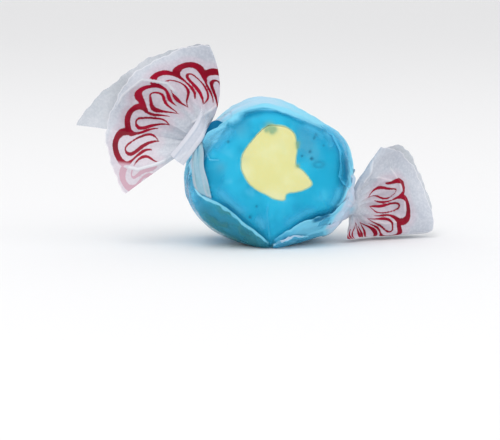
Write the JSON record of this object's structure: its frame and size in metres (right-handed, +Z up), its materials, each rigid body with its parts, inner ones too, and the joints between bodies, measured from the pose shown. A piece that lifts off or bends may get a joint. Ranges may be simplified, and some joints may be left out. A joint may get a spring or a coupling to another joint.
{
  "type": "taffy",
  "caption": "Soft two-coloured taffy candy, blue with a yellow centre, wrapped in a see-through sheet of waxed paper with a twisted fan at each end.",
  "frame": {"origin": "on the small flat spot that the candy rests on, straight below the middle of its body", "axes": "+X from the left twist towards the right twist, -Y out of the cut face that shows the yellow centre, +Z up"},
  "size_m": [0.0585, 0.0196, 0.0321],
  "materials": {
    "blue_taffy": "soft satin pulled sugar",
    "yellow_centre": "soft satin pulled sugar",
    "wax_paper": "waxed, translucent, with a plain red printed ornament near each twist"
  },
  "bodies": {
    "root": {"blue_taffy": "blue_taffy", "yellow_centre": "yellow_centre", "wax_wrapper": "wax_paper"}
  },
  "joints": []
}
